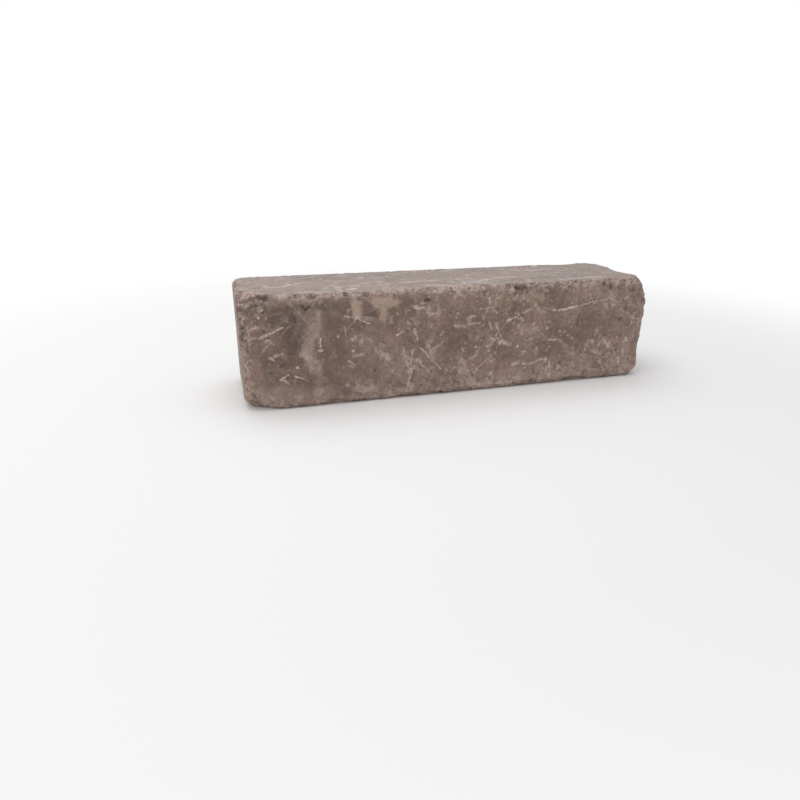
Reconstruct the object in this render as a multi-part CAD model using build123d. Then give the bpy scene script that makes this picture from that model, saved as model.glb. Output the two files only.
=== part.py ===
from build123d import *
import os
from math import cos, radians, sin
from typing import NamedTuple

# A tumbled concrete wall block, cast in one piece and laid dry in courses.
# It leaves the mould as a plain prism. Tumbling then bevels every arris unevenly,
# knocks the corners off, rounds what is left and strikes spalls out of the arrises.
# Millimetres. The origin is the middle of the underside, +X runs along the block
# from its left end to its right end, the face side looks along -Y and +Z is up.

# The prism
BLOCK_LENGTH = 588.0
BLOCK_DEPTH = 150.0
BLOCK_HEIGHT = 150.0

# Radius that tumbling leaves on every worn edge
WORN_RADIUS = 7.0


class Bevel(NamedTuple):
    """Set-back of an arris bevel from both faces. An arris runs left to right, front to back or upwards."""

    at_start: float
    at_end: float


FRONT_TOP_BEVEL = Bevel(5.2, 5.4)
FRONT_BOTTOM_BEVEL = Bevel(5.5, 6.0)
BACK_TOP_BEVEL = Bevel(5.4, 5.2)
BACK_BOTTOM_BEVEL = Bevel(8.0, 9.0)
LEFT_TOP_BEVEL = Bevel(8.0, 5.4)
LEFT_BOTTOM_BEVEL = Bevel(11.0, 9.0)
RIGHT_TOP_BEVEL = Bevel(12.0, 9.0)
RIGHT_BOTTOM_BEVEL = Bevel(9.0, 11.0)
FRONT_LEFT_BEVEL = Bevel(10.0, 9.0)
FRONT_RIGHT_BEVEL = Bevel(7.0, 10.5)
BACK_LEFT_BEVEL = Bevel(10.0, 8.0)
BACK_RIGHT_BEVEL = Bevel(11.0, 9.0)


class Knock(NamedTuple):
    """Set-back of a knocked-off corner along the three arrises that met there."""

    along_length: float
    along_depth: float
    along_height: float


FRONT_BOTTOM_LEFT_KNOCK = Knock(54.0, 30.0, 36.0)
FRONT_TOP_LEFT_KNOCK = Knock(50.0, 58.0, 60.0)
FRONT_BOTTOM_RIGHT_KNOCK = Knock(21.0, 21.0, 21.0)
FRONT_TOP_RIGHT_KNOCK = Knock(36.0, 32.0, 36.0)
BACK_BOTTOM_LEFT_KNOCK = Knock(30.0, 26.0, 25.0)
BACK_TOP_LEFT_KNOCK = Knock(18.0, 18.0, 17.0)
BACK_BOTTOM_RIGHT_KNOCK = Knock(34.0, 38.0, 27.0)
BACK_TOP_RIGHT_KNOCK = Knock(27.0, 30.0, 25.0)


class Spall(NamedTuple):
    """A shallow hollow struck out of an arris."""

    place: float  # along the arris from its start, or back from its end where negative
    length: float  # along the arris
    depth: float  # below the bevel
    lean: float  # from the middle of the bevel towards the first face, in degrees


FRONT_TOP_SPALLS = (
    Spall(place=86.0, length=30.0, depth=2.2, lean=6.0),
    Spall(place=254.0, length=32.0, depth=2.6, lean=-4.0),
    Spall(place=367.0, length=26.0, depth=3.0, lean=4.0),
    Spall(place=-62.0, length=30.0, depth=3.0, lean=8.0),
)
FRONT_BOTTOM_SPALLS = (
    Spall(place=118.0, length=46.0, depth=2.4, lean=0.0),
    Spall(place=212.0, length=44.0, depth=1.8, lean=4.0),
    Spall(place=-112.0, length=52.0, depth=2.6, lean=-8.0),
)
BACK_TOP_SPALLS = (
    Spall(place=206.0, length=48.0, depth=1.8, lean=6.0),
    Spall(place=392.0, length=44.0, depth=1.8, lean=-8.0),
    Spall(place=-68.0, length=60.0, depth=5.0, lean=-6.0),
)
BACK_BOTTOM_SPALLS = (
    Spall(place=186.0, length=84.0, depth=4.0, lean=8.0),
    Spall(place=-140.0, length=60.0, depth=3.4, lean=0.0),
)
LEFT_TOP_SPALLS = (Spall(place=102.0, length=46.0, depth=2.6, lean=0.0),)
LEFT_BOTTOM_SPALLS = (Spall(place=88.0, length=52.0, depth=3.2, lean=6.0),)
RIGHT_TOP_SPALLS = (Spall(place=60.0, length=66.0, depth=6.0, lean=-8.0),)
RIGHT_BOTTOM_SPALLS = (Spall(place=72.0, length=58.0, depth=3.6, lean=4.0),)
FRONT_LEFT_SPALLS = (Spall(place=100.0, length=46.0, depth=2.6, lean=8.0),)
FRONT_RIGHT_SPALLS = (Spall(place=46.0, length=40.0, depth=1.8, lean=-10.0),)
BACK_LEFT_SPALLS = (Spall(place=80.0, length=54.0, depth=3.2, lean=0.0),)
BACK_RIGHT_SPALLS = (Spall(place=70.0, length=66.0, depth=4.2, lean=6.0),)

# Outward directions of the six moulded faces
FRONT, BACK = Vector(0, -1, 0), Vector(0, 1, 0)
LEFT, RIGHT = Vector(-1, 0, 0), Vector(1, 0, 0)
BOTTOM, TOP = Vector(0, 0, -1), Vector(0, 0, 1)

# Each arris: its two faces, the face it ends at, and its wear
ARRISES = (
    (FRONT, TOP, RIGHT, FRONT_TOP_BEVEL, FRONT_TOP_SPALLS),
    (FRONT, BOTTOM, RIGHT, FRONT_BOTTOM_BEVEL, FRONT_BOTTOM_SPALLS),
    (BACK, TOP, RIGHT, BACK_TOP_BEVEL, BACK_TOP_SPALLS),
    (BACK, BOTTOM, RIGHT, BACK_BOTTOM_BEVEL, BACK_BOTTOM_SPALLS),
    (LEFT, TOP, BACK, LEFT_TOP_BEVEL, LEFT_TOP_SPALLS),
    (LEFT, BOTTOM, BACK, LEFT_BOTTOM_BEVEL, LEFT_BOTTOM_SPALLS),
    (RIGHT, TOP, BACK, RIGHT_TOP_BEVEL, RIGHT_TOP_SPALLS),
    (RIGHT, BOTTOM, BACK, RIGHT_BOTTOM_BEVEL, RIGHT_BOTTOM_SPALLS),
    (FRONT, LEFT, TOP, FRONT_LEFT_BEVEL, FRONT_LEFT_SPALLS),
    (FRONT, RIGHT, TOP, FRONT_RIGHT_BEVEL, FRONT_RIGHT_SPALLS),
    (BACK, LEFT, TOP, BACK_LEFT_BEVEL, BACK_LEFT_SPALLS),
    (BACK, RIGHT, TOP, BACK_RIGHT_BEVEL, BACK_RIGHT_SPALLS),
)

# Each corner: its three faces, in the order of the knock's set-backs
CORNERS = (
    (LEFT, FRONT, BOTTOM, FRONT_BOTTOM_LEFT_KNOCK),
    (LEFT, FRONT, TOP, FRONT_TOP_LEFT_KNOCK),
    (RIGHT, FRONT, BOTTOM, FRONT_BOTTOM_RIGHT_KNOCK),
    (RIGHT, FRONT, TOP, FRONT_TOP_RIGHT_KNOCK),
    (LEFT, BACK, BOTTOM, BACK_BOTTOM_LEFT_KNOCK),
    (LEFT, BACK, TOP, BACK_TOP_LEFT_KNOCK),
    (RIGHT, BACK, BOTTOM, BACK_BOTTOM_RIGHT_KNOCK),
    (RIGHT, BACK, TOP, BACK_TOP_RIGHT_KNOCK),
)


def prism_corner(*faces):
    """The sharp corner of the prism where three faces meet."""
    half = Vector(BLOCK_LENGTH / 2, BLOCK_DEPTH / 2, BLOCK_HEIGHT / 2)
    outward = sum(faces, Vector(0, 0, 0))
    middle = Vector(0, 0, BLOCK_HEIGHT / 2)
    return middle + Vector(outward.X * half.X, outward.Y * half.Y, outward.Z * half.Z)


def strike_off(block, points, outward):
    """What is left of the block below the plane through three points."""
    first, second, third = points
    normal = (second - first).cross(third - first)
    if normal.dot(outward) < 0:
        normal = -normal
    return split(block, bisect_by=Plane(first, z_dir=normal), keep=Keep.BOTTOM)


def bevel_arris(block, face_a, face_b, last, bevel):
    """Takes the bevel off one arris, its set-back running evenly from one end to the other."""
    start = prism_corner(face_a, face_b, -last)
    end = prism_corner(face_a, face_b, last)
    points = (
        start - face_a * bevel.at_start,
        start - face_b * bevel.at_start,
        end - face_a * bevel.at_end,
    )
    return strike_off(block, points, face_a + face_b)


def knock_corner(block, face_x, face_y, face_z, knock):
    """Takes one corner off at its three set-backs."""
    faces = (face_x, face_y, face_z)
    corner = prism_corner(*faces)
    points = [corner - face * setback for face, setback in zip(faces, knock)]
    return strike_off(block, points, face_x + face_y + face_z)


def spall_ball(face_a, face_b, last, bevel, spall):
    """The ball that strikes one spall out of an arris, as a cap of the spall's length and depth."""
    start = prism_corner(face_a, face_b, -last)
    run = (prism_corner(face_a, face_b, last) - start).length
    along = spall.place if spall.place >= 0 else run + spall.place
    setback = bevel.at_start + (bevel.at_end - bevel.at_start) * along / run
    turn = radians(45.0 - spall.lean)
    bevel_below_arris = setback / (cos(turn) + sin(turn))
    deepest = bevel_below_arris + spall.depth
    radius = ((spall.length / 2) ** 2 + spall.depth**2) / (2 * spall.depth)
    outward = face_a * cos(turn) + face_b * sin(turn)
    centre = start + last * along + outward * (radius - deepest)
    return Pos(*centre) * Sphere(radius)


def wall_block():
    """The whole block: the prism, bevelled, knocked, rounded and spalled."""
    on_its_underside = (Align.CENTER, Align.CENTER, Align.MIN)
    block = Box(BLOCK_LENGTH, BLOCK_DEPTH, BLOCK_HEIGHT, align=on_its_underside)
    for face_a, face_b, last, bevel, _ in ARRISES:
        block = bevel_arris(block, face_a, face_b, last, bevel)
    for face_x, face_y, face_z, knock in CORNERS:
        block = knock_corner(block, face_x, face_y, face_z, knock)
    block = fillet(block.edges(), WORN_RADIUS)
    for face_a, face_b, last, bevel, spalls in ARRISES:
        for spall in spalls:
            block -= spall_ball(face_a, face_b, last, bevel, spall)
    return block


os.makedirs("parts", exist_ok=True)
export_step(wall_block(), "parts/wall_block.step")
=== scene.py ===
import itertools
import math

import bpy
import numpy as np
from mathutils import Matrix, Vector
from mathutils.bvhtree import BVHTree


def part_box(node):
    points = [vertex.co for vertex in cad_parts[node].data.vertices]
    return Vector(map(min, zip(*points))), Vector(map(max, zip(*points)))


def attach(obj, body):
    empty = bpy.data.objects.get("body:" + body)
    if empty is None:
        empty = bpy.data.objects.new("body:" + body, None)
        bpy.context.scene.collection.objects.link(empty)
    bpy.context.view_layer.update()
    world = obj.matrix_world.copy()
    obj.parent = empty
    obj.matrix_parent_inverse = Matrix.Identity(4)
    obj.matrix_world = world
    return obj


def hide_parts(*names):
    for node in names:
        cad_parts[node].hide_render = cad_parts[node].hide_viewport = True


# A tumbled concrete wall block. The CAD solid gives the worn shape. This script lays a fine skin on it,
# roughens the arrises in geometry and gives the concrete its colour, scuffs and grain.
# Lengths in the shape code are in millimetres, and in Blender in metres.

MM = 0.001
NODE = "wall_block"
SEED = 41

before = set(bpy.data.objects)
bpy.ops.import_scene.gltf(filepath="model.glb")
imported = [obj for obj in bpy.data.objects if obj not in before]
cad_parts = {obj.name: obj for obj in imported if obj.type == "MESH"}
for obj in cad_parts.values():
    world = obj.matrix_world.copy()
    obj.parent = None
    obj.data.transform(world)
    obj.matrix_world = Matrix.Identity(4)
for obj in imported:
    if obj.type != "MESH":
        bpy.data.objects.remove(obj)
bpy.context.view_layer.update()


# Noise

# The hash that gives each cell its random numbers
HASH_PRIMES = (73856093, 19349663, 83492791)
SEED_PRIME = 7919
SEED_START = 13
HASH_MIX = 0x45D9F3B
HASH_TOP = 0xFFFFFFFF
# Added to a seed for the three parts of a random vector, and for a cell's own number
SLOPE_SEEDS = (0, 101, 202)
JITTER_SEEDS = (0, 211, 422)
NUMBER_SEED = 977
NOISE_GAIN = 1.9  # brings gradient noise to about -1 to 1
FAR_OFF = 9.0  # in cells, further than any neighbour


def cell_random(cells, seed):
    """A fixed random number from 0 to 1 for each whole-numbered cell."""
    x, y, z = (cells[:, axis] * prime for axis, prime in enumerate(HASH_PRIMES))
    mixed = (x ^ y ^ z ^ (seed * SEED_PRIME + SEED_START)) & HASH_TOP
    for _ in range(2):
        mixed = ((mixed >> 16) ^ mixed) * HASH_MIX & HASH_TOP
    return ((mixed >> 16) ^ mixed) / (HASH_TOP + 1)


def random_vectors(cells, seed, part_seeds):
    """Three fixed random numbers from 0 to 1 for each cell."""
    return np.stack([cell_random(cells, seed + part_seed) for part_seed in part_seeds], axis=1)


def smooth_noise(points, size, seed):
    """Gradient noise from about -1 to 1, with features of that size."""
    scaled = points / size
    base = np.floor(scaled).astype(np.int64)
    part = scaled - base
    fade = part**3 * (part * (part * 6.0 - 15.0) + 10.0)
    total = np.zeros(len(points))
    for corner in itertools.product((0, 1), repeat=3):
        step = np.array(corner)
        slope = random_vectors(base + step, seed, SLOPE_SEEDS) * 2.0 - 1.0
        weight = np.prod(np.where(step == 1, fade, 1.0 - fade), axis=1)
        total += weight * ((part - step) * slope).sum(axis=1)
    return total * NOISE_GAIN


def layered_noise(points, layers):
    """The sum of layers of noise, each given as amount, size and seed."""
    return sum(amount * smooth_noise(points, size, seed) for amount, size, seed in layers)


def scattered_cells(points, size, seed):
    """Distances in cells to the nearest two scattered points, and the random number of the nearest."""
    scaled = points / size
    base = np.floor(scaled).astype(np.int64)
    nearest = np.full(len(points), FAR_OFF)
    second = np.full(len(points), FAR_OFF)
    number = np.zeros(len(points))
    for neighbour in itertools.product((-1, 0, 1), repeat=3):
        cell = base + np.array(neighbour)
        jitter = random_vectors(cell, seed, JITTER_SEEDS)
        away = np.linalg.norm(cell + jitter - scaled, axis=1)
        closer = away < nearest
        second = np.where(closer, nearest, np.minimum(second, away))
        number = np.where(closer, cell_random(cell, seed + NUMBER_SEED), number)
        nearest = np.where(closer, away, nearest)
    return nearest, second, number


def ramp(value, start, end):
    """Goes smoothly from 0 at start to 1 at end."""
    part = np.clip((value - start) / (end - start), 0.0, 1.0)
    return part * part * (3.0 - 2.0 * part)


# The skin: a lattice on the six faces of the sharp prism, fine along the arrises and coarse in the middle
# of the faces, carried onto the CAD solid along rays from a core

LATTICE = (472, 120, 120)  # steps along length, depth and height, all multiples of the largest cell
LARGEST_CELL = 4  # lattice steps along its side
COARSE, MEDIUM, FINE = 0, 1, 2
FINE_REACH = 15.0  # from an arris
MEDIUM_REACH = 30.0  # from an arris
WORN_DEPTH = 0.25  # below the prism, where the cells stay fine
CORE_INSET = 45.0

low, high = (np.array(corner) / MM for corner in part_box(NODE))
middle = (low + high) / 2.0
half = (high - low) / 2.0


def lattice_points():
    """The lattice points on the prism's faces, and the number of each by its three indices."""
    shape = [n + 1 for n in LATTICE]
    index = np.indices(shape).reshape(3, -1).T
    on_face = ((index == 0) | (index == np.array(LATTICE))).any(axis=1)
    number = np.full(len(index), -1)
    number[on_face] = np.arange(on_face.sum())
    points = low + index[on_face] / np.array(LATTICE) * (high - low)
    return points, number.reshape(shape)


def carry_to_solid(points):
    """Where the ray through each lattice point leaves the CAD solid, and the ray's direction."""
    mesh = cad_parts[NODE].data
    corners = [vertex.co for vertex in mesh.vertices]
    tree = BVHTree.FromPolygons(corners, [polygon.vertices[:] for polygon in mesh.polygons])
    core_half = half - CORE_INSET
    core = middle + np.clip(points - middle, -core_half, core_half)
    outward = points - core
    outward /= np.linalg.norm(outward, axis=1, keepdims=True)
    landed = points.copy()
    for n, (start, direction) in enumerate(zip(core * MM, outward)):
        place, _, _, _ = tree.ray_cast(Vector(start), Vector(direction))
        if place is not None:
            landed[n] = np.array(place) / MM
    return landed, outward


def depths_below_prism(points):
    """Distances of each point from the nearest, second and third face of the prism."""
    return np.sort(half - np.abs(points - middle), axis=1).T


def face_grids(number):
    """The lattice numbers of each face as a grid, turned so that its cells face outwards."""
    yield number[0, :, :].T
    yield number[-1, :, :]
    yield number[:, 0, :]
    yield number[:, -1, :].T
    yield number[:, :, 0].T
    yield number[:, :, -1]


def leaf_cells(fineness):
    """The cells of one face, as (row, column, side): small where it is fine and large where it is coarse."""
    rows, columns = (n - 1 for n in fineness.shape)
    medium = LARGEST_CELL // 2
    for row, column in itertools.product(range(0, rows, LARGEST_CELL), range(0, columns, LARGEST_CELL)):
        if fineness[row:row + LARGEST_CELL + 1, column:column + LARGEST_CELL + 1].max() == COARSE:
            yield row, column, LARGEST_CELL
            continue
        for r, c in itertools.product((row, row + medium), (column, column + medium)):
            if fineness[r:r + medium + 1, c:c + medium + 1].max() < FINE:
                yield r, c, medium
                continue
            for small in itertools.product(range(r, r + medium), range(c, c + medium)):
                yield *small, 1


def skin_faces(number, fineness):
    """Faces that close the skin. A cell next to smaller ones takes in the corners along its sides."""
    cells = []
    used = np.zeros(len(fineness), dtype=bool)
    for grid in face_grids(number):
        for row, column, side in leaf_cells(fineness[grid]):
            cells.append((grid, row, column, side))
            used[grid[row:row + side + 1:side, column:column + side + 1:side]] = True
    faces = []
    for grid, row, column, side in cells:
        around = [grid[row + k, column] for k in range(side)]
        around += [grid[row + side, column + k] for k in range(side)]
        around += [grid[row + side - k, column + side] for k in range(side)]
        around += [grid[row, column + side - k] for k in range(side)]
        faces.append([n for n in around if used[n]])
    return faces, used


# Roughness of the arrises, and the pits and lumps that show by themselves

# Layers of noise: amount, size and seed
REACH_NOISE = ((3.0, 24.0, SEED), (2.2, 9.0, SEED + 1))
CRUMBLED_NOISE = ((1.0, 36.0, SEED + 2),)
DRIFT_NOISE = tuple(((2.0, 7.0, SEED + 10 + axis),) for axis in range(3))  # one for each axis
WOBBLE_NOISE = ((0.8, 30.0, SEED + 30), (0.6, 11.0, SEED + 31), (0.35, 4.0, SEED + 32))
SWELL_NOISE = ((0.2, 65.0, SEED + 40), (0.12, 21.0, SEED + 41))
WORN_NOISE = ((4.0, 18.0, SEED + 45),)
SPOT_NOISE = ((0.35, 5.0, SEED + 50), (0.25, 2.5, SEED + 51))
CRUMBLED_RANGE = (-0.3, 0.4)  # of its noise

# Distances from an arris
ROUGH_REACH = 3.0
CRUMBLED_REACH = 5.0  # added where the arris is crumbled
ROUGH_FADE = (-2.0, 4.0)  # from the reach
WORN_REACH = (1.0, 15.0)

# Depths below the prism, from where an effect starts to where it is full
SPALLED_DEPTH = (0.6, 2.5)  # rough away from the arrises too
KNOCKED_DEPTH = (4.0, 12.0)  # a knocked corner
UNRUBBED_DEPTH = (3.0, 9.0)  # out of reach of rubbing
UNRUBBED_LOST = 0.9  # share of the rubbing that is lost there

# Broken bits: size, depth or height, random numbers that are chosen, and the fall of their sides
CHIP_SIZE = 15.0
CHIP_DEPTH = 2.6
CHIP_CHOSEN = (0.7, 0.92)
CHIP_SIDE = (0.02, 0.25)
CHIP_SEED = SEED + 20
FLAKE_SIZE = 7.0
FLAKE_DEPTH = 1.6
FLAKE_CHOSEN = (0.64, 0.9)
FLAKE_SIDE = (0.03, 0.3)
FLAKE_SEED = SEED + 21
LUMP_HEIGHT = 0.9
LUMP_CHOSEN = (0.16, 0.04)
LUMP_SIDE = (0.6, 0.2)
GRAIN_SIZE = 3.4
GRAIN_HEIGHT = 0.55
GRAIN_SIDE = (0.1, 0.75)
GRAIN_SEED = SEED + 22
LEAST_GRAIN = 0.25  # share of the height
LEAST_CHIPS = 0.3  # share of the depth, where the arris isn't crumbled

# Depths below the solid
ROUGH_DEPTH = 0.25
SWELL_DEPTH = 0.3
PROUD_SHARE = 0.7  # of the depth below the prism, the most that the skin stands proud of the solid

# Shares that a knocked corner loses
CHIPS_LOST = 0.45
TONES_LOST = 0.6
CRUMBS_LOST = 0.65
CHIPPED_LOST = 0.75

# How much of the painted shade of the hollows the grains take away, and how light the bits look, partly as
# painted highlight on what stands proud
GRAIN_SHADE_TAKEN_OFF = 0.3
GRAIN_LIGHTNESS = 0.35
LUMP_LIGHTNESS = 0.75
CRUMB_LIGHTNESS = 0.62

# Single spots
PIT_FLAT = 0.55  # share of the radius that lies at full depth
LUMP_FLAT = 0.1
SPOT_REACH = 1.2  # in radii
# Middle, radius, and depth or height
PITS = (
    ((-211, -75, 132), 3.2, 2.8),
    ((-215, -75, 136), 3.0, 2.4),
    ((-206, -75, 135), 2.6, 2.2),
    ((-202, -71, 148), 6.0, 1.8),
    ((-159, -72, 148), 4.0, 1.8),
    ((-133, -73, 146), 4.0, 2.0),
    ((-128, -75, 132), 2.6, 1.4),
    ((-49, -75, 136), 3.6, 2.6),
    ((-53, -75, 135), 2.8, 2.2),
    ((67, -70, 147), 5.0, 1.7),
    ((79, -73, 144), 4.2, 1.9),
    ((104, -71, 149), 4.0, 2.0),
    ((216, -75, 144), 4.2, 2.0),
    ((227, -75, 140), 4.4, 2.3),
    ((265, -75, 133), 3.4, 1.8),
    ((257, -75, 106), 2.8, 1.6),
    ((249, -75, 90), 3.0, 1.8),
    ((-271, -58, 136), 3.2, 1.2),
    ((-277, -52, 134), 2.8, 0.9),
    ((-274, -49, 142), 3.4, 0.8),
    ((-257, -67, 145), 3.2, 0.9),
    ((-290, -67, 94), 3.2, 1.1),
    ((-279, -75, 90), 2.8, 1.1),
    ((-286, -72, 82), 3.0, 1.1),
    ((-293, -66, 87), 2.8, 0.9),
    ((284, -74, 117), 3.2, 1.5),
    ((287, -72, 80), 3.4, 1.7),
    ((288, -71, 48), 3.2, 1.5),
)
LUMPS = (
    ((-286, -56, 120), 5.0, 1.3),
    ((-290, -38, 133), 4.0, 0.7),
    ((-290, -47, 124), 4.2, 0.8),
    ((-280, -57, 125), 4.0, 0.7),
    ((-290, -57, 113), 5.0, 0.9),
    ((-291, -64, 105), 4.5, 0.8),
    ((-264, -61, 141), 4.0, 0.9),
    ((-267, -68, 130), 3.6, 0.8),
    ((-278, -51, 137), 3.6, 0.8),
    ((-215, -71, 146), 4.5, 0.8),
    ((-192, -75, 140), 4.0, 0.8),
    ((-212, -75, 141), 3.1, 0.8),
    ((-171, -75, 144), 4.5, 0.8),
    ((-164, -73, 147), 4.0, 0.8),
    ((-148, -74, 145), 5.9, 1.0),
    ((-121, -71, 148), 4.5, 0.8),
    ((-105, -72, 148), 5.4, 0.9),
    ((-84, -72, 148), 4.5, 0.8),
    ((-74, -70, 150), 4.5, 0.8),
    ((-3, -72, 148), 4.5, 0.8),
    ((9, -75, 141), 4.5, 0.8),
    ((3, -75, 137), 3.1, 0.8),
    ((70, -75, 140), 3.6, 0.9),
    ((85, -71, 149), 4.0, 0.9),
    ((133, -74, 145), 4.0, 0.6),
    ((121, -75, 139), 4.0, 0.6),
    ((148, -70, 150), 4.0, 0.8),
    ((157, -68, 150), 3.6, 0.9),
    ((206, -75, 137), 4.0, 0.7),
    ((208, -72, 147), 4.0, 0.8),
    ((235, -70, 147), 4.5, 0.8),
    ((-289, -70, 33), 3.6, 0.9),
    ((-283, -75, 40), 3.6, 0.8),
    ((-287, -70, 26), 4.0, 0.9),
    ((-281, -73, 24), 3.1, 0.7),
    ((-289, -71, 62), 3.1, 0.8),
    ((-292, -67, 55), 4.0, 1.0),
    ((-291, -68, 49), 3.1, 0.8),
    ((281, -58, 147), 4.0, 0.8),
    ((284, -64, 139), 4.5, 0.9),
    ((284, -72, 130), 4.0, 0.8),
    ((288, -71, 90), 4.0, 0.8),
    ((288, -71, 62), 4.0, 0.9),
    ((288, -71, 32), 4.0, 0.9),
    ((287, -71, 20), 3.6, 0.8),
)
# Parts of the front right arris that stand proud of the rest, in the colour of the face
BULGES = (
    ((288, -71, 112), 10.0, 1.9),
    ((289, -70, 99), 10.0, 2.0),
)
# A part of the same arris that lies back
DENTS = (((289, -68, 128), 12.0, 2.2),)


def placed_spots(points, spots, flat_share):
    """How far the spots rise or fall at each point, with ragged edges and that share of the radius flat."""
    ragged = layered_noise(points, SPOT_NOISE)
    total = np.zeros(len(points))
    for place, radius, depth in spots:
        away = np.linalg.norm(points - np.array(place), axis=1) / radius
        total = np.maximum(total, depth * ramp(away + ragged, SPOT_REACH, flat_share))
    return total


def broken_bits(points):
    """Depth of the chips, shares of grains and lumps, and each grain's random number, all over the block."""
    bent = points + np.stack([layered_noise(points, layers) for layers in DRIFT_NOISE], axis=1)
    near_chip, second_chip, chip_number = scattered_cells(bent, CHIP_SIZE, CHIP_SEED)
    near_flake, second_flake, flake_number = scattered_cells(bent, FLAKE_SIZE, FLAKE_SEED)
    near_grain, _, grain_number = scattered_cells(bent, GRAIN_SIZE, GRAIN_SEED)
    chips = CHIP_DEPTH * ramp(chip_number, *CHIP_CHOSEN) * ramp(second_chip - near_chip, *CHIP_SIDE)
    chips += FLAKE_DEPTH * ramp(flake_number, *FLAKE_CHOSEN) * ramp(second_flake - near_flake, *FLAKE_SIDE)
    grains = (LEAST_GRAIN + (1.0 - LEAST_GRAIN) * grain_number) * (1.0 - ramp(near_grain, *GRAIN_SIDE))
    lumps = ramp(flake_number, *LUMP_CHOSEN) * ramp(near_flake, *LUMP_SIDE)
    return chips, grains, lumps, grain_number


def roughen(points, edge, wear):
    """How far each point goes in, and its masks: chipped, painted shade in hollows, light crumbs and painted
    highlight, worn arrises.
    """
    crumbled = ramp(layered_noise(points, CRUMBLED_NOISE), *CRUMBLED_RANGE)
    reach = ROUGH_REACH + CRUMBLED_REACH * crumbled + layered_noise(points, REACH_NOISE)
    fade_start, fade_end = ROUGH_FADE
    rough = 1.0 - ramp(edge, reach + fade_start, reach + fade_end)
    rough = np.maximum(rough, ramp(wear, *SPALLED_DEPTH))
    knocked = ramp(wear, *KNOCKED_DEPTH)

    chips, grains, lumps, grain_number = broken_bits(points)
    chips *= (LEAST_CHIPS + (1.0 - LEAST_CHIPS) * crumbled) * (1.0 - CHIPS_LOST * knocked)
    wobble = layered_noise(points, WOBBLE_NOISE)
    inward = rough * (ROUGH_DEPTH + chips + wobble - GRAIN_HEIGHT * grains - LUMP_HEIGHT * lumps)
    swell = SWELL_DEPTH + layered_noise(points, SWELL_NOISE)
    inward += np.maximum(swell, 0.0) * (1.0 - rough)

    pits = placed_spots(points, PITS, PIT_FLAT)
    crumbs = placed_spots(points, LUMPS, LUMP_FLAT)
    bulges = placed_spots(points, BULGES, LUMP_FLAT)
    dents = placed_spots(points, DENTS, LUMP_FLAT)
    inward = np.maximum(inward + pits + dents - crumbs - bulges, -PROUD_SHARE * wear)

    toned = rough * (1.0 - TONES_LOST * knocked)
    # Painted shade in the chips and pits; the light on the proud lumps, grains and crumbs is partly painted
    # highlight
    hollow_shade = toned * (chips / CHIP_DEPTH - GRAIN_SHADE_TAKEN_OFF * grains) + pits / CHIP_DEPTH
    light = toned * (LUMP_LIGHTNESS * lumps + GRAIN_LIGHTNESS * grains * grain_number)
    light += CRUMB_LIGHTNESS * crumbs * (1.0 - CRUMBS_LOST * knocked)
    worn = 1.0 - ramp(edge + layered_noise(points, WORN_NOISE), *WORN_REACH)
    worn *= 1.0 - UNRUBBED_LOST * ramp(wear, *UNRUBBED_DEPTH)
    chipped = rough * (1.0 - CHIPPED_LOST * knocked)
    masks = np.stack([chipped, np.clip(hollow_shade, 0.0, 1.0), np.clip(light, 0.0, 1.0), worn], axis=1)
    return inward, masks


def skin_mesh():
    """The block's skin, with its masks in a colour attribute."""
    points, number = lattice_points()
    landed, outward = carry_to_solid(points)
    wear, edge, _ = depths_below_prism(landed)
    pitted = placed_spots(landed, PITS, PIT_FLAT) > 0.0
    fine = (edge < FINE_REACH) | (wear > WORN_DEPTH) | pitted
    fineness = np.where(fine, FINE, np.where(edge < MEDIUM_REACH, MEDIUM, COARSE))
    faces, used = skin_faces(number, fineness)
    renumber = np.cumsum(used) - 1
    faces = [[int(renumber[n]) for n in face] for face in faces]
    landed, outward = landed[used], outward[used]
    inward, masks = roughen(landed, edge[used], np.maximum(wear[used], 0.0))
    placed = np.clip(landed - outward * inward[:, None], low, high)

    mesh = bpy.data.meshes.new("tumbled_block")
    mesh.from_pydata((placed * MM).tolist(), [], faces)
    mesh.polygons.foreach_set("use_smooth", [True] * len(mesh.polygons))
    attribute = mesh.color_attributes.new("masks", "FLOAT_COLOR", "POINT")
    attribute.data.foreach_set("color", masks.astype(np.float32).ravel())
    mesh.validate()
    return mesh


block = bpy.data.objects.new("tumbled_block", skin_mesh())
bpy.context.scene.collection.objects.link(block)
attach(block, "root")
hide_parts(NODE)


# Material: brown pressed concrete with blotches, pores, light flecks and tumbling scuffs, and painted light
# and shade: shade in hollows and pores, light on proud crumbs, the top and the foot

DARK_BROWN = (0.173, 0.113, 0.087)
OLIVE_BROWN = (0.244, 0.170, 0.127)
MAUVE_BROWN = (0.255, 0.164, 0.136)
DEEP_BROWN = (0.117, 0.074, 0.055)
SMEAR_LIGHT = (0.460, 0.345, 0.294)
SCUFF_LIGHT = (0.560, 0.438, 0.382)
TAN = (0.402, 0.286, 0.216)
CRUMB_DARK = (0.105, 0.071, 0.056)
GRAIN_LIGHT = (0.520, 0.410, 0.358)
# Painted shade for the hollows and the pores
PAINTED_HOLLOW_SHADE = (0.062, 0.041, 0.034)
# Dust, which also paints the top lighter and cooler as painted sky light
DUST_AND_SKY_LIGHT = (0.270, 0.243, 0.230)
# Light of the rubbed arrises, and also painted light at the foot of the block
RUBBED_AND_PAINTED_LIGHT = (0.400, 0.300, 0.258)

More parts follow.
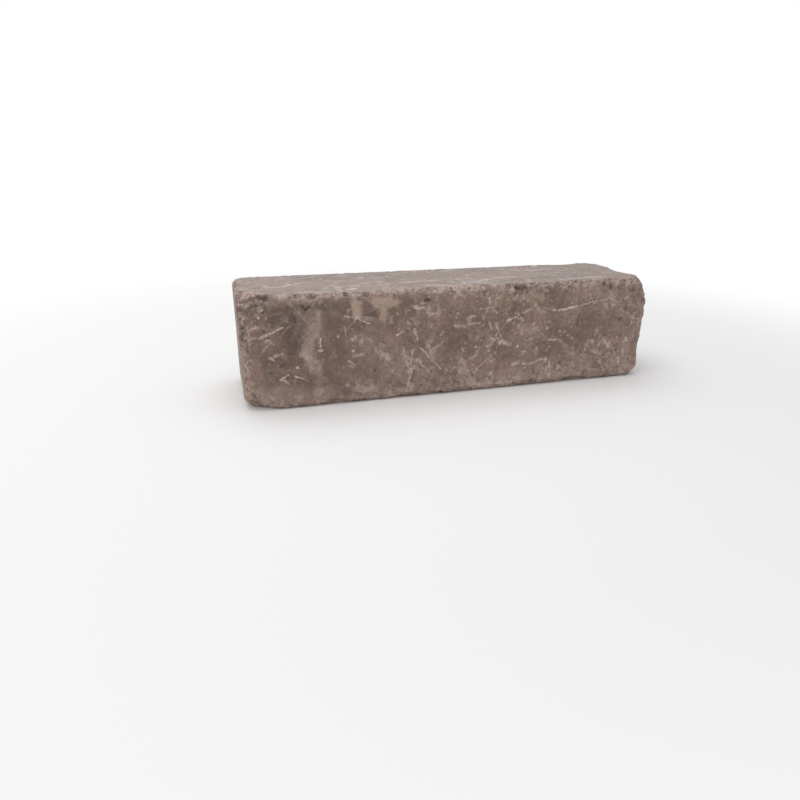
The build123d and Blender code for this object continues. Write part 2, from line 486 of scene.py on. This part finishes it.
# Shares of those colours
DUST_AND_SKY_SHARE = 0.38
WORN_SHARE = 0.5  # of the rubbed colour on the worn arrises
FOOT_PAINTED_LIGHT_SHARE = 0.36  # of the same light colour at the foot of the block, as painted light against the shade near the floor
FOOT_PAINTED_LIGHT_HEIGHT = 50.0  # up to which the foot gets painted light
CRUMB_SHARE = 0.8
HOLLOW_SHADE_SHARE = 0.8
FLECK_SHARE = 0.75
PORE_SHADE_SHARE = 0.75
LIGHT_GRIT_SHARE = 0.88
DARK_GRIT_SHARE = 0.72
SMEAR_MOTTLE = 0.3  # share of the mottling that shows through a smear or a tan patch

# Noise textures: size, detail and roughness
DRIFT = (9.0, 2.0, 0.5)
BLOTCHES = (62.0, 4.0, 0.55)
HUES = (34.0, 3.0, 0.5)
CLOUD = (6.0, 4.0, 0.7)
THINNING = (14.0, 3.0, 0.6)
SCUFF_PATCHES = (34.0, 3.0, 0.6)
SCUFF_BREAKS = (3.6, 3.0, 0.7)
STREAKS = (15.0, 4.0, 0.6)
MOTTLE = (12.0, 4.0, 0.72)
FINE_GRAIN = (2.2, 2.0, 0.6)
SPECKLE = (4.6, 2.0, 0.65)
STREAK_SQUEEZE = (0.22, 1.0, 1.0)  # streaks of dust and painted sky light run along the block
HUE_OFFSET = (310.0, 70.0, 20.0)  # so that hues and blotches don't coincide
FLECK_OFFSET = (17.0, 5.0, 91.0)  # so that flecks and pores don't coincide
MID_COLOUR = (0.5, 0.5, 0.5)  # taken off a random colour to make it a random direction
GRIT_CELLS = 4.4
PORE_CELLS = 10.0
PORE_RADIUS = 2.4
FLECK_CELLS = 5.6
FLECK_RADIUS = 2.3

# Ramps: from and to, then what they give at each end where that isn't 0 and 1
HUE_RAMP = (0.4, 0.6)
BLOTCH_RAMP = (0.62, 0.36)
THIN_RAMP = (0.36, 0.6, 0.6, 1.0)
PATCHY_RAMP = (0.42, 0.62, 0.3, 1.0)
BROKEN_RAMP = (0.34, 0.56, 0.5, 1.0)
UP_FACING_RAMP = (0.55, 0.95, 0.0, DUST_AND_SKY_SHARE)
STREAK_RAMP = (0.35, 0.65, 0.5, 1.5)
MOTTLE_RAMP = (0.25, 0.75, 0.79, 1.22)
FINE_RAMP = (0.25, 0.75, 0.85, 1.15)
SPECKLE_RAMP = (0.3, 0.7, -0.18, 0.21)
PLAINER_LEFT_RAMP = (-220.0, 60.0, 0.45, 1.0)
FOOT_PAINTED_LIGHT_RAMP = (0.0, FOOT_PAINTED_LIGHT_HEIGHT, FOOT_PAINTED_LIGHT_SHARE, 0.0)
RUBBED_AND_PAINTED_RAMP = (0.36, 0.64, 0.4, 1.7)
SMOOTH_RAMP = (0.0, 1.0, 1.0, SMEAR_MOTTLE)
BLOB_RAMP = (0.62, 0.2)
CHIPPED_RAMP = (0.15, 0.85)
LIGHT_GRIT_RAMP = (0.5, 0.85, 0.0, LIGHT_GRIT_SHARE)
DARK_GRIT_RAMP = (0.3, 0.1, 0.0, DARK_GRIT_SHARE)
GLOSS_RAMP = (0.3, 0.7, 0.5, 0.66)
MARK_RAMP = (1.2, 0.4)
SCRATCH_RAMP = (1.2, 0.3)
SCRATCH_END_RAMP = (0.6, 0.25)
SPOT_RAMP = (0.25, -0.45)

# Bending of the marks, and raggedness of their edges
BEND = 6.0
LITTLE_BEND = 3.0
RAGGED = 3.2
TAN_RAGGED = 0.65  # share of RAGGED
FRAYED = 0.85  # share of RAGGED, for smears and placed scuffs
PORE_RAGGED = 4.0
FLECK_RAGGED = 6.0
GRIT_RAGGED = 0.25
SPOT_RAGGED = 0.8
SPOT_RARITY = 3.0  # the higher, the fewer large spots
SURE_SHARE = 0.2  # of the scratches chosen, those at full strength

# Fine relief in millimetres
MOTTLE_HEIGHT = 0.5
FINE_HEIGHT = 0.22
PORE_DEPTH = 0.5
GRIT_HEIGHT = 0.6
GRIT_SPREAD = 0.6  # in cells, where a grain of grit ends
BUMP_STRENGTH = 0.7  # share of those heights that shows
CHIPPED_ROUGHNESS = 0.2  # added to the shader's roughness

# Marks: from and to, half width and strength. On the face side the places are distance along the block
# and height.
FACE_SCUFFS = (
    ((-286, 100), (-270, 98), 2.4, 0.45),
    ((-270, 98), (-256, 103), 2.8, 0.70),
    ((-256, 103), (-241, 110), 2.2, 0.90),
    ((-260, 93), (-251, 88), 3.3, 0.50),
    ((-252, 74), (-243, 76), 2.7, 0.75),
    ((-259, 72), (-254, 68), 2.4, 0.55),
    ((-225, 57), (-223, 55), 2.2, 0.90),
    ((-248, 41), (-238, 47), 2.4, 0.80),
    ((-245, 43), (-236, 35), 2.2, 0.70),
    ((-227, 44), (-218, 41), 2.0, 0.95),
    ((-218, 41), (-211, 36), 1.8, 0.50),
    ((-194, 92), (-194, 78), 1.5, 0.90),
    ((-196, 77), (-192, 77), 2.7, 0.95),
    ((-161, 120), (-147, 116), 1.8, 0.55),
    ((-147, 116), (-128, 108), 2.1, 0.80),
    ((-162, 106), (-161, 93), 2.4, 0.45),
    ((-92, 90), (-82, 95), 1.8, 0.85),
    ((-112, 58), (-93, 33), 1.4, 0.45),
    ((-158, 60), (-150, 54), 2.2, 0.60),
    ((-70, 68), (-72, 41), 2.1, 0.60),
    ((-72, 41), (-78, 10), 3.0, 0.85),
    ((-68, 96), (-63, 82), 2.4, 0.75),
    ((-57, 69), (-43, 52), 1.7, 0.90),
    ((-43, 52), (-29, 38), 1.7, 0.90),
    ((-64, 55), (-46, 35), 1.8, 0.60),
    ((-31, 86), (-26, 90), 1.8, 0.60),
    ((7, 108), (19, 109), 2.7, 0.55),
    ((-10, 97), (4, 96), 2.7, 0.55),
    ((11, 98), (27, 99), 2.2, 0.70),
    ((25, 118), (38, 119), 1.8, 0.60),
    ((30, 104), (36, 117), 1.7, 0.45),
    ((50, 97), (55, 83), 2.0, 0.60),
    ((69, 100), (85, 107), 2.5, 0.90),
    ((88, 109), (103, 114), 2.1, 0.50),
    ((123, 114), (146, 109), 2.0, 0.45),
    ((146, 109), (198, 118), 2.1, 0.95),
    ((198, 118), (236, 123), 1.8, 0.50),
    ((89, 139), (90, 120), 2.0, 0.60),
    ((60, 69), (75, 65), 4.2, 0.75),
    ((42, 76), (56, 75), 2.8, 0.70),
    ((55, 83), (66, 68), 2.0, 0.45),
    ((134, 67), (152, 67), 1.8, 0.80),
    ((1, 66), (4, 60), 1.8, 0.65),
    ((14, 49), (25, 54), 2.1, 0.50),
    ((21, 29), (46, 53), 2.0, 0.50),
    ((20, 10), (80, 9), 2.4, 0.65),
    ((138, 34), (142, 12), 1.7, 0.75),
    ((106, 33), (127, 40), 2.0, 0.55),
    ((267, 79), (273, 98), 1.8, 0.75),
    ((263, 60), (265, 57), 3.0, 0.80),
    ((260, 42), (262, 39), 3.6, 0.60),
    ((255, 30), (256, 19), 2.1, 0.65),
    ((37, 132), (40, 125), 2.0, 0.65),
    ((42, 119), (52, 110), 1.8, 0.60),
    ((41, 96), (44, 88), 2.0, 0.65),
    ((30, 95), (33, 98), 1.8, 0.60),
    ((86, 61), (88, 60), 2.6, 0.75),
    ((94, 53), (101, 53), 2.0, 0.75),
    ((115, 56), (117, 54), 2.2, 0.80),
    ((80, 36), (90, 36), 2.2, 0.65),
    ((96, 34), (104, 33), 2.0, 0.60),
    ((123, 39), (126, 39), 3.2, 0.85),
    ((140, 14), (141, 11), 2.6, 0.90),
    ((123, 115), (126, 115), 2.0, 0.85),
    ((162, 20), (167, 21), 3.0, 0.55),
    ((46, 42), (52, 45), 2.0, 0.55),
    ((-172, 94), (-172, 90), 1.8, 0.70),
    ((-140, 105), (-140, 102), 1.8, 0.65),
    ((-151, 73), (-150, 73), 2.0, 0.80),
    ((-121, 73), (-117, 65), 1.8, 0.60),
    ((-78, 107), (-72, 103), 2.0, 0.65),
    ((-47, 114), (-37, 117), 2.2, 0.65),
    ((-72, 67), (-71, 63), 2.2, 0.75),
    ((-102, 20), (-101, 19), 2.4, 0.60),
    ((-62, 53), (-57, 50), 2.0, 0.75),
)
FACE_SMEARS = (
    ((-194, 126), (-196, 112), 5.0, 0.40),
    ((-196, 112), (-205, 98), 6.5, 0.56),
    ((-205, 98), (-213, 76), 8.8, 0.72),
    ((-213, 76), (-205, 60), 8.8, 0.68),
    ((-205, 60), (-199, 46), 8.0, 0.50),
    ((-199, 46), (-199, 14), 5.0, 0.32),
    ((-110, 63), (-104, 59), 5.4, 0.60),
    ((-150, 20), (-122, 17), 6.0, 0.45),
    ((-100, 14), (-60, 12), 5.0, 0.35),
    ((60, 14), (110, 18), 6.0, 0.40),
    ((118, 12), (150, 15), 5.0, 0.35),
    ((225, 40), (250, 26), 9.0, 0.30),
    ((262, 54), (266, 20), 10.0, 0.38),
    ((238, 22), (258, 12), 8.0, 0.32),
    ((80, 92), (110, 80), 10.0, 0.25),
)
FACE_TAN = (
    ((-146, 134), (-145, 124), 8.0, 1.0),
    ((-122, 137), (-96, 134), 8.0, 1.0),
    ((-111, 128), (-110, 114), 6.5, 0.8),
    ((86, 130), (116, 130), 9.0, 0.45),
)
FACE_DARK = (
    ((-254, 126), (-226, 124), 15.0, 1.00),
    ((-236, 108), (-228, 84), 15.0, 0.95),
    ((-262, 68), (-235, 64), 11.0, 0.80),
    ((-178, 112), (-176, 72), 17.0, 0.55),
    ((-198, 136), (-186, 133), 9.0, 0.55),
    ((-174, 128), (-152, 126), 9.0, 0.45),
    ((-132, 121), (-118, 119), 6.0, 0.60),
    ((-100, 118), (-96, 100), 9.0, 0.40),
    ((-18, 112), (14, 108), 11.0, 0.40),
    ((-8, 86), (14, 68), 19.0, 0.50),
    ((55, 58), (72, 50), 14.0, 0.40),
    ((170, 66), (196, 56), 18.0, 0.40),
    ((185, 100), (230, 94), 16.0, 0.35),
    ((-258, 42), (-222, 36), 17.0, 0.60),
    ((-182, 42), (-166, 24), 13.0, 0.45),
)
# The broken face of the front top left corner, as places in the block's frame
CORNER_DARK = (((-286, -50, 128), (-262, -66, 137), 26.0, 1.0),)
# On the top the places are distance along the block and depth
TOP_DARK = (
    ((150, 30), (262, 10), 46.0, 0.36),
    ((40, 30), (90, 44), 20.0, 0.25),
    ((-60, 20), (-10, 40), 16.0, 0.22),
    ((-230, 30), (-190, 44), 18.0, 0.18),
)
TOP_SCUFFS = (
    ((-228, -14), (-222, 3), 4.5, 0.90),
    ((-286, -20), (-272, -26), 4.5, 0.80),
    ((-214, -57), (-177, -63), 7.0, 0.60),
    ((-162, -33), (-164, -66), 6.0, 0.90),
    ((-148, -54), (-143, -48), 8.0, 1.00),
    ((-142, -34), (-134, -28), 6.0, 1.00),
    ((-125, -15), (-110, -11), 5.0, 0.75),
    ((-118, 22), (-115, 24), 5.0, 1.00),
    ((-98, -8), (-96, -8), 5.0, 1.00),
    ((-69, -26), (-14, -20), 7.0, 0.70),
    ((-41, -54), (13, -64), 7.0, 0.65),
    ((12, -48), (58, -30), 7.0, 0.75),
    ((34, -50), (42, -50), 7.0, 1.00),
    ((74, -22), (100, -22), 9.0, 0.75),
    ((146, 18), (194, 36), 6.0, 0.75),
    ((154, -58), (200, -56), 6.0, 0.60),
    ((204, -52), (224, -50), 9.0, 0.75),
)
# Random scuffs on every side: size of the cells that hold one each, width, share of the cells, strength
SCRATCHES = (
    (86.0, 3.0, 0.9, 0.9),
    (57.0, 2.6, 0.9, 0.9),
    (38.0, 2.2, 0.8, 0.85),
    (22.0, 2.0, 0.7, 0.8),
    (13.0, 2.6, 0.6, 0.7),
)
FACE_SCRATCHES = 0.75  # strength of the random scuffs on the face side, which has placed ones too
OTHER_SCRATCHES = 1.2  # and on the other sides
FACE_BAND = (1.0, 12.0)  # behind the face, from one strength to the other
SCUFF_TAPER = 0.45  # share of its width that a placed scuff loses towards its end
NEXT_TO_NOTHING = 1e-6
MARK_SOCKETS = (
    ("Place", "Vector"),
    ("From", "Vector"),
    ("To", "Vector"),
    ("Half Width", "Float"),
    ("Taper", "Float"),
    ("Ragged", "Float"),
)


def on_face(marks):
    """The marks of the face side as places in the block's frame."""
    plane = float(low[1])
    return [((x0, plane, z0), (x1, plane, z1), *rest) for (x0, z0), (x1, z1), *rest in marks]


def on_top(marks):
    """The marks of the top as places in the block's frame."""
    plane = float(high[2])
    return [((x0, y0, plane), (x1, y1, plane), *rest) for (x0, y0), (x1, y1), *rest in marks]


class Tree:
    """A node tree that is built by calls."""

    def __init__(self, tree):
        self.tree = tree

    def node(self, kind, inputs=None, **settings):
        made = self.tree.nodes.new(kind)
        for name, value in settings.items():
            setattr(made, name, value)
        for socket, value in (inputs or {}).items():
            if isinstance(value, bpy.types.NodeSocket):
                self.link(value, made.inputs[socket])
            else:
                made.inputs[socket].default_value = value
        return made

    def link(self, output, socket):
        self.tree.links.new(output, socket)

    def math(self, operation, *values, clamp=False):
        inputs = dict(enumerate(values))
        return self.node("ShaderNodeMath", inputs, operation=operation, use_clamp=clamp).outputs[0]

    def times(self, first, second):
        return self.math("MULTIPLY", first, second)

    def larger(self, first, second):
        return self.math("MAXIMUM", first, second)

    def about_zero(self, value, reach):
        """A value from 0 to 1 turned over and laid about zero."""
        return self.math("MULTIPLY_ADD", value, -reach, reach / 2.0)

    def vector(self, operation, *values):
        made = self.node("ShaderNodeVectorMath", dict(enumerate(values)), operation=operation)
        is_number = operation in ("DOT_PRODUCT", "LENGTH", "DISTANCE")
        return made.outputs["Value" if is_number else "Vector"]

    def scaled(self, vector, factor):
        return self.node("ShaderNodeVectorMath", {0: vector, "Scale": factor}, operation="SCALE").outputs[0]

    def ramp(self, value, start, end, at_start=0.0, at_end=1.0):
        inputs = {0: value, 1: start, 2: end, 3: at_start, 4: at_end}
        return self.node("ShaderNodeMapRange", inputs, interpolation_type="SMOOTHSTEP").outputs[0]

    def noise(self, place, size, detail, roughness, output=0):
        inputs = {"Vector": place, "Scale": 1.0 / size, "Detail": detail, "Roughness": roughness}
        return self.node("ShaderNodeTexNoise", inputs).outputs[output]

    def cells(self, place, size):
        return self.node("ShaderNodeTexVoronoi", {"Vector": place, "Scale": 1.0 / size}).outputs

    def random(self, place):
        return self.node("ShaderNodeTexWhiteNoise", {"Vector": place}).outputs["Value"]

    def mix(self, share, first, second, blend="MIX"):
        first = (*first, 1.0) if isinstance(first, tuple) else first
        second = (*second, 1.0) if isinstance(second, tuple) else second
        inputs = {0: share, 6: first, 7: second}
        return self.node("ShaderNodeMix", inputs, data_type="RGBA", blend_type=blend).outputs[2]


def mark_group():
    """A node group that masks one mark: a line with ragged sides that narrows towards its end."""
    group = bpy.data.node_groups.new("scuff_mark", "ShaderNodeTree")
    for name, kind in MARK_SOCKETS:
        group.interface.new_socket(name, in_out="INPUT", socket_type=f"NodeSocket{kind}")
    group.interface.new_socket("Mask", in_out="OUTPUT", socket_type="NodeSocketFloat")
    tree = Tree(group)
    given = tree.node("NodeGroupInput").outputs
    line = tree.vector("SUBTRACT", given["To"], given["From"])
    away = tree.vector("SUBTRACT", given["Place"], given["From"])
    along = tree.vector("DOT_PRODUCT", away, line)
    share = tree.math("DIVIDE", along, tree.vector("DOT_PRODUCT", line, line), clamp=True)
    off = tree.vector("DISTANCE", away, tree.scaled(line, share))
    narrowed = tree.math("SUBTRACT", 1.0, tree.times(share, given["Taper"]))
    reach = tree.times(given["Half Width"], narrowed)
    part = tree.math("ADD", tree.math("DIVIDE", off, reach), given["Ragged"])
    tree.node("NodeGroupOutput", {0: tree.ramp(part, *MARK_RAMP)})
    return group


def marked(tree, group, place, ragged, marks, taper=0.0):
    """The strongest of the given marks at each place.

    Each mark's place leans on the mark before it by next to nothing, because the renderer works out marks
    that don't wait for each other all at once and then runs out of room.
    """
    total = 0.0
    for start, end, half_width, strength in marks:
        made = tree.node("ShaderNodeGroup", {"Place": place, "Ragged": ragged}, node_tree=group)
        made.inputs["From"].default_value = start
        made.inputs["To"].default_value = end
        made.inputs["Half Width"].default_value = half_width
        made.inputs["Taper"].default_value = taper
        total = tree.larger(total, tree.times(made.outputs[0], strength))
        place = tree.vector("MULTIPLY_ADD", total, (NEXT_TO_NOTHING,) * 3, place)
    return total


def scratches(tree, place, ragged, size, width, share):
    """Straight scuffs in all directions, one in that share of the cells of that size."""
    scaled = tree.scaled(place, 1.0 / size)
    cells = tree.cells(scaled, 1.0)
    away = tree.vector("SUBTRACT", scaled, cells["Position"])
    tilt = tree.vector("NORMALIZE", tree.vector("SUBTRACT", cells["Color"], MID_COLOUR))
    off = tree.math("ABSOLUTE", tree.vector("DOT_PRODUCT", away, tilt))
    line = tree.ramp(tree.math("MULTIPLY_ADD", off, size / width, ragged), *SCRATCH_RAMP)
    ends = tree.ramp(cells["Distance"], *SCRATCH_END_RAMP)
    chosen = tree.ramp(tree.random(cells["Position"]), share, SURE_SHARE * share)
    return tree.times(tree.times(line, ends), chosen)


def random_scuffs(tree, place, ragged):
    """The strongest of the random scuffs at each place."""
    total = 0.0
    for size, width, share, strength in SCRATCHES:
        layer = tree.times(scratches(tree, place, ragged, size, width, share), strength)
        total = tree.larger(total, layer)
    return total


def spots(tree, place, ragged, size, radius):
    """Small ragged spots of up to that radius, one in each cell of that size."""
    cells = tree.cells(place, size)
    number = tree.random(cells["Position"])
    reach = tree.times(tree.math("POWER", number, SPOT_RARITY), radius)
    distance = tree.times(cells["Distance"], size)
    past = tree.math("MULTIPLY_ADD", ragged, SPOT_RAGGED, tree.math("SUBTRACT", distance, reach))
    return tree.ramp(past, *SPOT_RAMP)


def base_brown(tree, place):
    """Brown that wavers in hue, with darker blotches."""
    blotch = tree.noise(place, *BLOTCHES)
    hue = tree.noise(tree.vector("ADD", place, HUE_OFFSET), *HUES)
    brown = tree.mix(tree.ramp(hue, *HUE_RAMP), OLIVE_BROWN, MAUVE_BROWN)
    return tree.mix(tree.ramp(blotch, *BLOTCH_RAMP), brown, DARK_BROWN)


def dust_and_sky_light_share(tree, place):
    """How much of the dust colour lies at each place, in streaks on what looks up; it also paints the top
    lighter and cooler, as painted sky light.
    """
    normal = tree.node("ShaderNodeTexCoord").outputs["Normal"]
    upward = tree.node("ShaderNodeSeparateXYZ", {0: normal}).outputs["Z"]
    streaks = tree.noise(tree.vector("MULTIPLY", place, STREAK_SQUEEZE), *STREAKS)
    up_facing = tree.ramp(upward, *UP_FACING_RAMP)
    return tree.times(up_facing, tree.ramp(streaks, *STREAK_RAMP))


def lightness(tree, mottle, fine, speckle, plainer_left):
    """The mottling, the speckles and the fine grain as a grey that the colour is multiplied by."""
    speckled = tree.times(tree.ramp(speckle, *SPECKLE_RAMP), plainer_left)
    light = tree.ramp(mottle, *MOTTLE_RAMP)
    light = tree.times(light, tree.math("ADD", speckled, 1.0))
    light = tree.times(light, tree.ramp(fine, *FINE_RAMP))
    return tree.node("ShaderNodeCombineColor", {0: light, 1: light, 2: light}).outputs[0]


def rubbed_and_painted_light_share(tree, height, worn, mottle):
    """How much of the colour is made light: rubbed along the arrises, and painted light at the foot that
    lifts the shade near the floor.
    """
    foot_painted_light = tree.ramp(height, *FOOT_PAINTED_LIGHT_RAMP)
    rubbed_and_painted = tree.larger(foot_painted_light, tree.times(worn, WORN_SHARE))
    return tree.math("MULTIPLY", rubbed_and_painted, tree.ramp(mottle, *RUBBED_AND_PAINTED_RAMP), clamp=True)


def with_grit(tree, colour, grit, ragged, chipped):
    """The colour with light and dark grit where the concrete is chipped."""
    tone = tree.node("ShaderNodeSeparateColor", {0: grit["Color"]}).outputs["Red"]
    blob = tree.ramp(tree.math("MULTIPLY_ADD", ragged, GRIT_RAGGED, grit["Distance"]), *BLOB_RAMP)
    chip = tree.times(blob, tree.ramp(chipped, *CHIPPED_RAMP))
    colour = tree.mix(tree.times(chip, tree.ramp(tone, *LIGHT_GRIT_RAMP)), colour, GRAIN_LIGHT)
    return tree.mix(tree.times(chip, tree.ramp(tone, *DARK_GRIT_RAMP)), colour, CRUMB_DARK)


def fine_relief(tree, mottle, fine, pores, grit, chipped):
    """The normal, bumped by the mottling, the fine grain, the pores and the grit."""
    height = tree.times(mottle, MOTTLE_HEIGHT)
    height = tree.math("MULTIPLY_ADD", fine, FINE_HEIGHT, height)
    height = tree.math("MULTIPLY_ADD", pores, -PORE_DEPTH, height)
    crumbs = tree.times(tree.math("SUBTRACT", GRIT_SPREAD, grit["Distance"]), chipped)
    height = tree.math("MULTIPLY_ADD", crumbs, GRIT_HEIGHT, height)
    bump = {"Height": height, "Distance": MM, "Strength": BUMP_STRENGTH}
    return tree.node("ShaderNodeBump", bump).outputs[0]


def concrete_material():
    """The concrete, in millimetres of the block's own frame."""
    material = bpy.data.materials.new("concrete")
    material.use_nodes = True
    tree = Tree(material.node_tree)
    shader = material.node_tree.nodes["Principled BSDF"]
    place = tree.scaled(tree.node("ShaderNodeTexCoord").outputs["Object"], 1.0 / MM)
    at = tree.node("ShaderNodeSeparateXYZ", {0: place}).outputs
    masks = tree.node("ShaderNodeVertexColor", layer_name="masks").outputs
    mask = tree.node("ShaderNodeSeparateColor", {0: masks["Color"]}).outputs
    chipped, hollow_shade, crumbs_and_highlight, worn = mask["Red"], mask["Green"], mask["Blue"], masks["Alpha"]

    drift = tree.vector("SUBTRACT", tree.noise(place, *DRIFT, output="Color"), MID_COLOUR)
    bent = tree.vector("MULTIPLY_ADD", drift, (BEND,) * 3, place)
    bent_little = tree.vector("MULTIPLY_ADD", drift, (LITTLE_BEND,) * 3, place)
    colour = base_brown(tree, bent)

    group = mark_group()
    ragged = tree.about_zero(tree.noise(place, *CLOUD), RAGGED)
    dark_marks = on_face(FACE_DARK) + on_top(TOP_DARK) + list(CORNER_DARK)
    colour = tree.mix(marked(tree, group, bent, ragged, dark_marks), colour, DEEP_BROWN)
    tan = marked(tree, group, bent, tree.times(ragged, TAN_RAGGED), on_face(FACE_TAN))
    colour = tree.mix(tan, colour, TAN)
    frayed = tree.times(ragged, FRAYED)
    smears = marked(tree, group, bent, frayed, on_face(FACE_SMEARS))
    smears = tree.times(smears, tree.ramp(tree.noise(bent, *THINNING), *THIN_RAMP))
    colour = tree.mix(smears, colour, SMEAR_LIGHT)

    scuffs = random_scuffs(tree, bent, ragged)
    patchy = tree.ramp(tree.noise(place, *SCUFF_PATCHES), *PATCHY_RAMP)
    scuffs = tree.times(scuffs, patchy)
    band_start, band_end = (float(low[1]) + depth for depth in FACE_BAND)
    by_side = tree.ramp(at["Y"], band_start, band_end, FACE_SCRATCHES, OTHER_SCRATCHES)
    scuffs = tree.times(scuffs, by_side)
    placed_scuffs = on_face(FACE_SCUFFS) + on_top(TOP_SCUFFS)
    scuffs = tree.larger(scuffs, marked(tree, group, bent_little, frayed, placed_scuffs, SCUFF_TAPER))
    broken = tree.ramp(tree.noise(place, *SCUFF_BREAKS), *BROKEN_RAMP)
    colour = tree.mix(tree.times(scuffs, broken), colour, SCUFF_LIGHT)
    # Dust on what looks up, which is also painted cool sky light on the top
    colour = tree.mix(dust_and_sky_light_share(tree, place), colour, DUST_AND_SKY_LIGHT)

    mottle = tree.noise(place, *MOTTLE)
    fine = tree.noise(place, *FINE_GRAIN)
    speckle = tree.noise(place, *SPECKLE)
    plainer_left = tree.ramp(at["X"], *PLAINER_LEFT_RAMP)
    grey = lightness(tree, mottle, fine, speckle, plainer_left)
    smooth = tree.larger(tan, smears)
    # Rubbed arrises, and painted light at the foot against the shade near the floor
    colour = tree.mix(rubbed_and_painted_light_share(tree, at["Z"], worn, mottle), colour, RUBBED_AND_PAINTED_LIGHT)
    colour = tree.mix(tree.ramp(smooth, *SMOOTH_RAMP), colour, grey, "MULTIPLY")

    grit = tree.cells(bent, GRIT_CELLS)
    colour = with_grit(tree, colour, grit, ragged, chipped)
    # Light crumbs, partly painted highlight on what stands proud
    colour = tree.mix(tree.times(crumbs_and_highlight, CRUMB_SHARE), colour, GRAIN_LIGHT)
    # Painted shade in the chips and pits
    colour = tree.mix(tree.times(hollow_shade, HOLLOW_SHADE_SHARE), colour, PAINTED_HOLLOW_SHADE)

    pores = spots(tree, place, tree.about_zero(speckle, PORE_RAGGED), PORE_CELLS, PORE_RADIUS)
    crumbly = tree.about_zero(fine, FLECK_RAGGED)
    flecks = spots(tree, tree.vector("ADD", place, FLECK_OFFSET), crumbly, FLECK_CELLS, FLECK_RADIUS)
    flecks = tree.times(tree.times(flecks, patchy), plainer_left)
    colour = tree.mix(tree.times(flecks, FLECK_SHARE), colour, GRAIN_LIGHT)
    # Painted shade in the pores
    colour = tree.mix(tree.times(pores, PORE_SHADE_SHARE), colour, PAINTED_HOLLOW_SHADE)
    tree.link(colour, shader.inputs["Base Color"])

    tree.link(fine_relief(tree, mottle, fine, pores, grit, chipped), shader.inputs["Normal"])
    gloss = tree.ramp(mottle, *GLOSS_RAMP)
    roughness = tree.math("ADD", gloss, tree.times(chipped, CHIPPED_ROUGHNESS))
    tree.link(roughness, shader.inputs["Roughness"])
    return material


block.data.materials.append(concrete_material())


# Stage: a pale floor that goes to white away from the block, an even white sky and a soft box overhead

WHITE = (1.0, 1.0, 1.0, 1.0)
FLOOR_COLOUR = (0.9, 0.9, 0.9, 1.0)
FLOOR_SIDE = 12.0
FLOOR_PLAIN_REACH = 0.45
FLOOR_WHITE_REACH = 1.1
SKY_LIGHT = 0.64
SOFTBOX_PLACE = Vector((-0.4, 0.1, 1.6))
SOFTBOX_AIM = Vector((-0.2, 0.0, 0.0))
SOFTBOX_WIDTH = 2.0
SOFTBOX_DEPTH = 1.4
SOFTBOX_POWER = 14.5


def seen_directly(tree):
    """1 for rays that show the background itself, also in a reflection or through glass."""
    ray = tree.node("ShaderNodeLightPath").outputs
    shown = tree.larger(ray["Is Camera Ray"], ray["Is Glossy Ray"])
    return tree.larger(shown, ray["Is Transmission Ray"])


def floor_material():
    """Pale and matt around the block, and plain white further off where it is looked at."""
    material = bpy.data.materials.new("floor")
    material.use_nodes = True
    tree = Tree(material.node_tree)
    shader = material.node_tree.nodes["Principled BSDF"]
    shader.inputs["Base Color"].default_value = FLOOR_COLOUR
    shader.inputs["Roughness"].default_value = 1.0
    shader.inputs["Specular IOR Level"].default_value = 0.0
    distance = tree.vector("LENGTH", tree.node("ShaderNodeTexCoord").outputs["Object"])
    far = tree.ramp(distance, FLOOR_PLAIN_REACH, FLOOR_WHITE_REACH)
    white = tree.node("ShaderNodeEmission", {"Strength": 1.0}).outputs[0]
    share = tree.times(far, seen_directly(tree))
    surface = tree.node("ShaderNodeMixShader", {0: share, 1: shader.outputs[0], 2: white}).outputs[0]
    tree.link(surface, material.node_tree.nodes["Material Output"].inputs["Surface"])
    return material


bpy.ops.mesh.primitive_plane_add(size=FLOOR_SIDE)
floor = bpy.context.object
floor.name = "floor"
floor.data.materials.append(floor_material())

world = bpy.data.worlds.new("studio")
bpy.context.scene.world = world
world.use_nodes = True
world_tree = Tree(world.node_tree)
background = world.node_tree.nodes["Background"]
background.inputs["Color"].default_value = WHITE
strength = world_tree.ramp(seen_directly(world_tree), 0.0, 1.0, SKY_LIGHT, 1.0)
world_tree.link(strength, background.inputs["Strength"])

lamp = bpy.data.lights.new("overhead", "AREA")
lamp.shape = "RECTANGLE"
lamp.size = SOFTBOX_WIDTH
lamp.size_y = SOFTBOX_DEPTH
lamp.energy = SOFTBOX_POWER
softbox = bpy.data.objects.new("overhead", lamp)
softbox.location = SOFTBOX_PLACE
softbox.rotation_euler = (SOFTBOX_AIM - SOFTBOX_PLACE).to_track_quat("-Z", "Y").to_euler()
bpy.context.scene.collection.objects.link(softbox)


# Camera, fitted to the block's outline in the photo

IMAGE_SIDE = 800.0
FOCAL_PIXELS = 616.9
SENSOR_WIDTH = 36.0
CLIP_START = 0.01
CAMERA_PLACE = (-0.3128, -0.8342, 0.3048)
CAMERA_YAW = math.radians(16.53)
CAMERA_PITCH = math.radians(21.19)
CAMERA_ROLL = math.radians(0.39)

camera_data = bpy.data.cameras.new("camera")
camera_data.sensor_width = SENSOR_WIDTH
camera_data.lens = FOCAL_PIXELS / IMAGE_SIDE * SENSOR_WIDTH
camera_data.clip_start = CLIP_START
camera = bpy.data.objects.new("camera", camera_data)
aim = Matrix.Rotation(-CAMERA_YAW, 4, "Z") @ Matrix.Rotation(math.pi / 2 - CAMERA_PITCH, 4, "X")
camera.matrix_world = Matrix.Translation(CAMERA_PLACE) @ aim @ Matrix.Rotation(CAMERA_ROLL, 4, "Z")
bpy.context.scene.collection.objects.link(camera)
bpy.context.scene.camera = camera
bpy.context.scene.view_settings.view_transform = "Standard"
